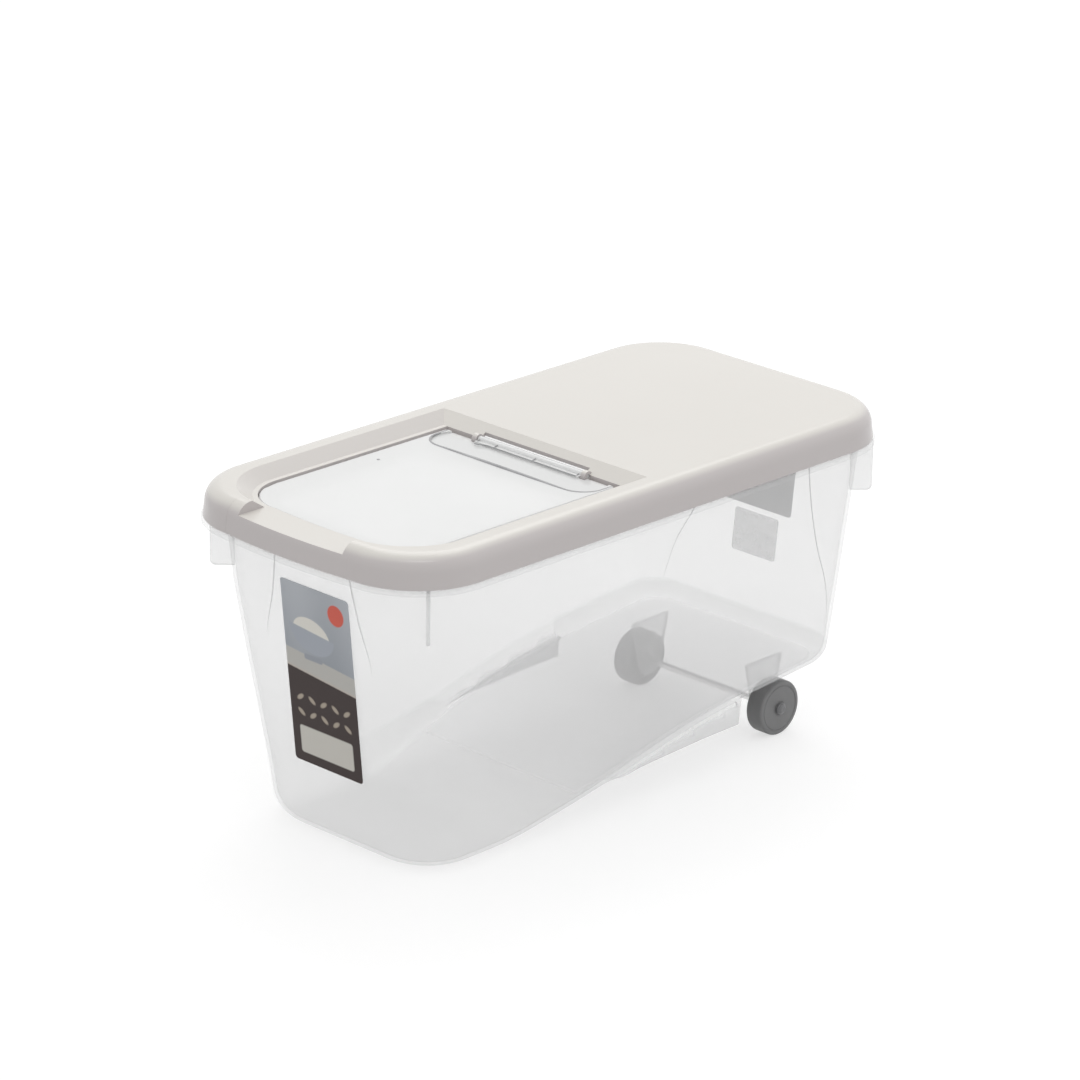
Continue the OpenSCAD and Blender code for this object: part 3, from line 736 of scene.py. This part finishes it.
def strip_edge_path():
    """Edge of the sunk strip along the flap's rear: from the far end round two circular
    corners and straight across the front, in the plane of the flap's upper face."""
    half, front, rear, corner, z = 77.0, -42.0, -14.5, 17.5, 231.9
    turn = np.radians(np.linspace(0, 90, 14))
    arc_x, arc_y = corner * (1 - np.cos(turn)), corner * (1 - np.sin(turn))
    left = np.column_stack([-half + arc_x, front + arc_y])
    middle_x = np.linspace(-half + corner, half - corner, 60)[1:-1]
    middle = np.column_stack([middle_x, np.full_like(middle_x, front)])
    right = left[::-1] * [-1, 1]
    line = np.vstack([[-half, rear], left, middle, right, [half, rear]])
    return np.column_stack([line, np.full(len(line), z)])


def hinge_frame_path():
    """Upper edge of the clear housing round the barrel: up at one end along a square root,
    straight along the barrel, and down again."""
    half, low, high, y_front, y_rear = 46.5, 232.2, 233.75, -16.5, -10.3
    steps = np.linspace(0, 1, 8)
    left = np.column_stack([np.full_like(steps, -half), y_front + (y_rear - y_front) * steps,
                            low + (high - low) * np.sqrt(steps)])
    middle = np.column_stack([np.linspace(-half, half, 50), np.full(50, y_rear),
                              np.full(50, high)])
    return np.vstack([left, middle[1:-1], left[::-1] * [-1, 1, 1]])


def flap_details():
    """Lines and small forms moulded on the clear flap: the strip's edge, the housing's
    frame, the web in front of the barrel, two ribs and a nub."""
    strip = strip_edge_path()
    count = len(strip)
    swell = 0.7 + 0.8 * np.sin(np.linspace(0.05, 0.95, count) * math.pi) ** 2
    # These lines, the ribs and the nub carry the grey painted-shade edge material
    pieces = [tube("flap_strip_edge", strip, swell, FLAP_SHADE_LINE),
              tube("flap_hinge_frame", hinge_frame_path(), 0.38, FLAP_SHADE_LINE)]
    web = np.column_stack([np.linspace(-45, 46.5, 60), np.full(60, -17.6), np.full(60, 232.25)])
    bow = smooth_step(web[:, 0], -45.0, -36.0)
    web[:, 1] -= 3.5 * (1 - bow)
    pieces.append(tube("flap_hinge_web_edge", web, 0.4, FLAP_SHADE_LINE))
    for k, x in enumerate((-30.0, 6.0)):
        rib = np.column_stack([np.full(6, x), np.linspace(-17.6, -13.2, 6),
                               np.linspace(232.3, 233.4, 6)])
        pieces.append(tube(f"flap_hinge_rib_{k + 1}", rib, 0.45, FLAP_SHADE_LINE, 8))
    nub_x, nub_y, nub_z, sides = -66.0, -91.0, 232.1, 20
    nub = [(1.1, 0.0), (1.1, 0.35), (0.8, 0.6), (0.0, 0.65)]
    turn = np.linspace(0, 2 * math.pi, sides, endpoint=False)
    points = [(nub_x + r * math.cos(a), nub_y + r * math.sin(a), nub_z + h)
              for r, h in nub for a in turn]
    faces = grid_faces(len(nub), sides, close_columns=True).tolist()
    faces += [list(range(sides)), list(range(3 * sides, 4 * sides))]
    pieces.append(make_piece("flap_nub", points, faces, FLAP_SHADE_LINE, smooth_angle=40.0))
    return pieces


def clear_strip(obj):
    """Gives the floor of the sunk strip the clearer of the flap's two materials."""
    obj.data.materials.append(FLAP_STRIP)
    centre = np.zeros(len(obj.data.polygons) * 3)
    obj.data.polygons.foreach_get("center", centre)
    x, y, z = (centre.reshape(-1, 3) / MM).T
    inside = (np.abs(x) < 74.2) & (y > -38.2) & (y < -13) & (np.abs(z - 230.9) < 0.25)
    obj.data.polygons.foreach_set("material_index", inside.astype(np.int32))


def shaped_flap(obj):
    """Draws the flap's sides in by 1.3 mm and lets the sunk strip reach 4 mm further
    forward and 3 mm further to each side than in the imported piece."""
    co = coordinates(obj)
    side = np.abs(co[:, 0])
    strip = (co[:, 2] > 230.5) & (co[:, 1] > -38.6) & (co[:, 1] < -17.0) & (side < 74.6)
    fixed_y, fixed_side = -24.0, 60.0
    forward = strip & (co[:, 1] < fixed_y)
    co[:, 1] = np.where(forward, fixed_y + (co[:, 1] - fixed_y) * 18 / 14, co[:, 1])
    wide = strip & (side > fixed_side)
    wider = np.sign(co[:, 0]) * (fixed_side + (side - fixed_side) * 17 / 14)
    co[:, 0] = np.where(wide, wider, co[:, 0])
    drawn_in = np.sign(co[:, 0]) * 1.3 * smooth_step(side, 76.0, 79.0)
    co[:, 0] -= np.where(wide, 0.0, drawn_in)
    obj.data.vertices.foreach_set("co", (co * MM).reshape(-1))
    obj.data.update()


flap = softened_copy("flap", "flap_panel", FLAP, 0.35, 28)
clear_strip(flap)
shaped_flap(flap)
for piece in [flap] + flap_details():
    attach(piece, "flap")
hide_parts("flap")


# Wheels

def revolved(name, profile, centre, material):
    """Closed profile of (distance along X, radius) turned about the X axis through centre."""
    segments = 96
    profile = np.asarray(profile, float)
    turn = np.linspace(0, 2 * math.pi, segments, endpoint=False)
    x = np.repeat(profile[:, :1], segments, axis=1)
    y = profile[:, 1:] * np.cos(turn)
    z = profile[:, 1:] * np.sin(turn)
    points = np.stack([x, y, z], axis=-1).reshape(-1, 3) + np.asarray(centre)
    faces = grid_faces(len(profile), segments, close_rows=True, close_columns=True)
    return make_piece(name, points, faces, material, merge=0.001, smooth_angle=32.0)


def wheel(name, side):
    """Disc with a rounded rim, a shallow ring groove and a hub; the outer face is at the
    far end of X."""
    inner, outer = 57.0, 71.0
    profile = [(inner, 2.58), (inner, 6.5), (inner + 3, 6.9), (inner + 3, 16.6), (inner, 17.0)]
    profile += arc((inner + 1.6, 18.38), 1.6, 180, 90)
    profile += arc((outer - 1.6, 18.38), 1.6, 90, 0)
    face = [(0.0, 17.0), (0.5, 16.6), (0.5, 16.1), (0.15, 15.7), (0.15, 5.2), (0.5, 4.9),
            (0.5, 4.2), (0.0, 3.9), (0.0, 2.58)]
    profile += [(outer - depth, radius) for depth, radius in face]
    profile = [(side * x, r) for x, r in profile]
    return revolved(name, profile, (0.0, WHEEL_Y, WHEEL_Z), WHEEL)


for word, side in (("right", 1), ("left", -1)):
    rim = wheel(f"wheel_disc_{word}", side)
    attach(rim, f"wheel_{word}")
    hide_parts(f"wheel_{word}")

for node in ("axle", "wheel_cap_right", "wheel_cap_left"):
    metal = frame["nodes"][node].data.materials
    metal.clear()
    metal.append(STEEL if node == "axle" else CAP)


# Stickers

def sticker(name, width, low, high, rear, colour_of, material, cell):
    """Thin sheet on the leaning end wall. Its face is a grid over width and height whose
    colour is worked out by colour_of(u, v) with u and v in millimetres from its lower left
    corner as seen from outside; its rounded corners pull the outer points in."""
    round_corner = 2.5
    columns, rows = int(width / cell) + 1, int((high - low) / cell) + 1
    u, v = np.meshgrid(np.linspace(0, width, columns), np.linspace(0, high - low, rows))
    height = high - low
    cx = clamp(u, round_corner, width - round_corner)
    cy = clamp(v, round_corner, height - round_corner)
    away = np.hypot(u - cx, v - cy)
    pull = np.where(away > round_corner, round_corner / np.maximum(away, 1e-6), 1.0)
    pu, pv = cx + (u - cx) * pull, cy + (v - cy) * pull
    z = low + pv
    lean = wall_offset(z)
    sign = 1.0 if rear else -1.0
    x = (width / 2 - pu) if rear else (pu - width / 2)
    wall = TUB_REAR - lean if rear else -TUB_FRONT - lean
    front = np.stack([x, sign * (wall + 0.30), z], axis=-1).reshape(-1, 3)
    back = np.stack([x, sign * (wall + 0.06), z], axis=-1).reshape(-1, 3)
    count = rows * columns
    faces = grid_faces(rows, columns)
    rim = np.concatenate([np.arange(columns), np.arange(1, rows) * columns + columns - 1,
                          (rows - 1) * columns + np.arange(columns - 2, -1, -1),
                          np.arange(rows - 2, 0, -1) * columns])
    after = np.roll(rim, -1)
    faces = np.vstack([faces, faces[:, ::-1] + count,
                       np.stack([after, rim, rim + count, after + count], axis=-1)])
    mesh = bpy.data.meshes.new(name)
    mesh.from_pydata((np.vstack([front, back]) * MM).tolist(), [], faces.tolist())
    layer = mesh.attributes.new("ink", "FLOAT_COLOR", "POINT")
    ink = colour_of(u, v).reshape(-1, 3)
    ink = np.column_stack([np.vstack([ink, ink]), np.ones(2 * count)])
    layer.data.foreach_set("color", ink.astype(np.float32).reshape(-1))
    work = bmesh.new()
    work.from_mesh(mesh)
    bmesh.ops.recalc_face_normals(work, faces=work.faces)
    work.to_mesh(mesh)
    work.free()
    return finish_piece(name, mesh, material, 30.0)


def paint(base, mask, colour):
    """Lays a colour over the base where the mask is 1."""
    return base * (1 - mask[..., None]) + np.asarray(colour, float) * mask[..., None]


def soft_mask(distance, blur=0.35):
    """1 inside a shape whose signed distance is negative, 0 outside, with a soft edge."""
    return clamp(0.5 - distance / (2 * blur), 0.0, 1.0)


def box_distance(u, v, centre, half, corner=0.0):
    """Signed distance to a rounded rectangle."""
    du = np.abs(u - centre[0]) - half[0] + corner
    dv = np.abs(v - centre[1]) - half[1] + corner
    outside = np.hypot(np.maximum(du, 0), np.maximum(dv, 0))
    return outside + np.minimum(np.maximum(du, dv), 0) - corner


def front_sticker_ink(u, v):
    """Generic design: a grey-blue field with a heaped bowl under a red disc, and a dark
    brown field with a pale panel and two rows of grain shapes. Each shape is a signed
    distance, negative inside."""
    height = v.max()
    split = height * 0.53 - 0.10 * u
    top = np.array([0.33, 0.355, 0.39]) + 0.16 * ((v - split) / (height - split))[..., None]
    ink = top + 0.03 * np.sin(u / 9.0)[..., None]
    shelf = soft_mask(split + 13 - v)
    ink = paint(ink, 1 - shelf, (0.52, 0.51, 0.48))
    bowl_u, bowl_r = 26, 17
    bowl = np.maximum(np.hypot((u - bowl_u) / 1.25, v - (split + 33)) - bowl_r, v - (split + 32))
    heap = np.maximum(np.hypot(u - bowl_u, (v - (split + 30)) * 1.5) - bowl_r, (split + 31) - v)
    ink = paint(ink, soft_mask(heap), (0.78, 0.76, 0.70))
    ink = paint(ink, soft_mask(bowl), (0.40, 0.43, 0.48))
    foot = box_distance(u, v, (bowl_u, 80.0), (8.5, 2.0), 1.5)
    ink = paint(ink, soft_mask(foot), (0.33, 0.35, 0.39))
    ink = paint(ink, soft_mask(np.hypot(u - 51, v - (height - 14)) - 7.5), (0.70, 0.12, 0.08))
    lower = soft_mask(v - split)
    ink = paint(ink, lower, (0.036, 0.021, 0.019))
    ink = paint(ink, soft_mask(np.abs(v - split) - 0.7), (0.55, 0.50, 0.45))
    ink = paint(ink, soft_mask(box_distance(u, v, (32, 17), (25, 10), 2.0)), (0.62, 0.60, 0.55))
    for row in range(2):
        for k in range(5):
            centre = (10.0 + 11.0 * k, 37.0 + 11.0 * row)
            angle = math.radians(35 if (k + row) % 2 else -35)
            du, dv = u - centre[0], v - centre[1]
            along = du * math.cos(angle) + dv * math.sin(angle)
            across = -du * math.sin(angle) + dv * math.cos(angle)
            ink = paint(ink, soft_mask((np.hypot(along / 2.2, across) - 1.6)), (0.42, 0.36, 0.29))
    return ink


def ink_with_edge_highlight(colour):
    """Nearly even colour with a slightly paler edge, a painted highlight where the sheet's edge
    catches light.
    """
    def ink(u, v):
        inside = box_distance(u, v, (u.max() / 2, v.max() / 2), (u.max() / 2, v.max() / 2))
        # Painted highlight: the band within 1.2 mm of the edge is made 12 % paler
        return np.asarray(colour) * (1 + 0.12 * soft_mask(-inside - 1.2, 0.6))[..., None]
    return ink


sheets = [
    (sticker("front_sticker", 64.0, 58.0, 190.0, False, front_sticker_ink,
             printed_material("front_print"), cell=0.5),
     "front_label", "front_sticker"),
    (sticker("rear_sticker_upper", 62.0, 138.0, 186.0, True, ink_with_edge_highlight((0.50, 0.505, 0.51)),
             printed_material("rear_print_upper", cover=0.5), cell=1.0),
     "rear_label_upper", "rear_sticker_upper"),
    (sticker("rear_sticker_lower", 41.0, 103.0, 134.0, True, ink_with_edge_highlight((0.80, 0.805, 0.81)),
             printed_material("rear_print_lower", cover=0.28), cell=1.0),
     "rear_label_lower", "rear_sticker_lower"),
]
for sheet, node, slot in sheets:
    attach(sheet, "tub")
    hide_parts(node)


# Floor, light and camera

WHITE = (1.0, 1.0, 1.0, 1.0)


def floor():
    """Large pale floor; what the camera sees of it is lifted to white, and the shadow stays."""
    size, low, lit_grey, seen_grey, seen_glow = 12.0, -0.0002, 0.72, 0.44, 0.62
    mesh = bpy.data.meshes.new("floor")
    mesh.from_pydata([(-size, -size, low), (size, -size, low), (size, size, low),
                      (-size, size, low)], [], [(0, 1, 2, 3)])
    material = bpy.data.materials.new("floor_white")
    material.use_nodes = True
    tree = material.node_tree
    tree.nodes.clear()
    direct = seen_directly(tree)
    matte = add_node(tree, "ShaderNodeBsdfDiffuse",
                     {"Color": scaled(tree, direct, lit_grey, seen_grey)})
    glow = add_node(tree, "ShaderNodeEmission",
                    {"Color": WHITE, "Strength": scaled(tree, direct, 0.0, seen_glow)})
    both = add_node(tree, "ShaderNodeAddShader")
    tree.links.new(matte.outputs[0], both.inputs[0])
    tree.links.new(glow.outputs[0], both.inputs[1])
    out = add_node(tree, "ShaderNodeOutputMaterial")
    tree.links.new(both.outputs[0], out.inputs["Surface"])
    mesh.materials.append(material)
    obj = bpy.data.objects.new("floor", mesh)
    bpy.context.scene.collection.objects.link(obj)


def world(low, high):
    """Surroundings that are dim near the horizon and bright overhead for the light they
    give, a little brighter from the rear and the right, and plain white to the camera."""
    sky = bpy.data.worlds.new("studio")
    bpy.context.scene.world = sky
    sky.use_nodes = True
    tree = sky.node_tree
    tree.nodes.clear()
    place = add_node(tree, "ShaderNodeTexCoord")
    way = add_node(tree, "ShaderNodeSeparateXYZ", {0: place.outputs["Generated"]}).outputs
    level = add_node(tree, "ShaderNodeMapRange",
                     {"Value": way["Z"], "From Min": 0.0, "From Max": 0.85,
                      "To Min": low, "To Max": high}).outputs["Result"]
    level = times_plus(tree, way["Y"], 0.10, level)
    level = times_plus(tree, way["X"], 0.06, level)
    soft = add_node(tree, "ShaderNodeBackground", {"Color": WHITE, "Strength": level})
    seen = add_node(tree, "ShaderNodeBackground", {"Color": WHITE, "Strength": 1.0})
    mix = add_node(tree, "ShaderNodeMixShader", {"Fac": seen_directly(tree)})
    tree.links.new(soft.outputs[0], mix.inputs[1])
    tree.links.new(seen.outputs[0], mix.inputs[2])
    out = add_node(tree, "ShaderNodeOutputWorld")
    tree.links.new(mix.outputs[0], out.inputs["Surface"])


def area_light(name, place, target, size, power):
    """Rectangular lamp at a place in metres that faces the target; size is width and height."""
    light = bpy.data.lights.new(name, "AREA")
    light.energy = power
    light.shape = "RECTANGLE"
    light.size, light.size_y = size
    obj = bpy.data.objects.new(name, light)
    obj.location = Vector(place)
    obj.rotation_euler = (Vector(target) - Vector(place)).to_track_quat("-Z", "Y").to_euler()
    bpy.context.scene.collection.objects.link(obj)


def camera():
    """Camera fitted to the photograph: a long lens from the front right, slightly above,
    rolled by one degree. The point named here falls on the pixel named with it."""
    azimuth, elevation, roll = map(math.radians, (44.0, 20.5, 1.0))
    focal_px, distance, frame_px = 5098.3, 3471.3, 1080.0
    axis_px = (535.4, 540.2)
    point, point_px = Vector((0.0, 5.18, 121.06)), (546.4, 604.9)
    back = Vector((math.sin(azimuth) * math.cos(elevation),
                   -math.cos(azimuth) * math.cos(elevation), math.sin(elevation)))
    level = Vector((math.cos(azimuth), math.sin(azimuth), 0.0))
    above = back.cross(level)
    right = level * math.cos(roll) + above * math.sin(roll)
    up = above * math.cos(roll) - level * math.sin(roll)
    px_size = distance / focal_px
    place = (point + back * distance - right * ((point_px[0] - axis_px[0]) * px_size)
             + up * ((point_px[1] - axis_px[1]) * px_size))
    data = bpy.data.cameras.new("camera")
    data.sensor_width = 36.0
    data.lens = focal_px / frame_px * 36.0
    data.shift_x = (frame_px / 2 - axis_px[0]) / frame_px
    data.shift_y = (axis_px[1] - frame_px / 2) / frame_px
    data.clip_end = 50.0
    obj = bpy.data.objects.new("camera", data)
    turn = Matrix((right, up, back)).transposed().to_4x4()
    obj.matrix_world = Matrix.Translation(place * MM) @ turn
    bpy.context.scene.collection.objects.link(obj)
    bpy.context.scene.camera = obj


floor()
world(0.60, 0.92)
area_light("key", (-0.9, 0.9, 1.9), (0.0, 0.0, 0.15), (1.5, 1.5), 11.0)
area_light("streak", (0.54, -0.56, 1.84), (0.0, 0.0, 0.2), (0.9, 0.10), 2.5)
camera()
bpy.context.scene.view_settings.view_transform = "Standard"
